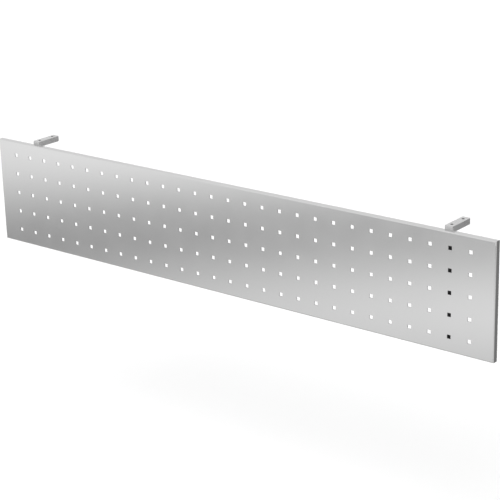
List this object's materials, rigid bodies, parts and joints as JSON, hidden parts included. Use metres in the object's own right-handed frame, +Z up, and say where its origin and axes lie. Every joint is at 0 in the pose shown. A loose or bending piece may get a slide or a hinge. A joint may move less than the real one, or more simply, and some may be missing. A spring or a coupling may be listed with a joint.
{
  "type": "under-desk privacy screen",
  "caption": "Long folded sheet-metal screen with square perforations, hung below a desk top by two strip-and-arm brackets screwed to its underside.",
  "frame": {"origin": "on the top face of the left arm, midway between its two screw holes", "axes": "+X along the panel's length, +Y to the back, away from the perforated front, +Z up, out of the top faces of the arms"},
  "size_m": [1.47, 0.0855, 0.278],
  "materials": {
    "panel_paint": "silver powder coat, satin",
    "bracket_paint": "silver powder coat, satin"
  },
  "bodies": {
    "root": {"front_panel": "panel_paint", "left_strip": "bracket_paint", "right_strip": "bracket_paint", "left_arm": "bracket_paint", "right_arm": "bracket_paint"}
  },
  "joints": []
}
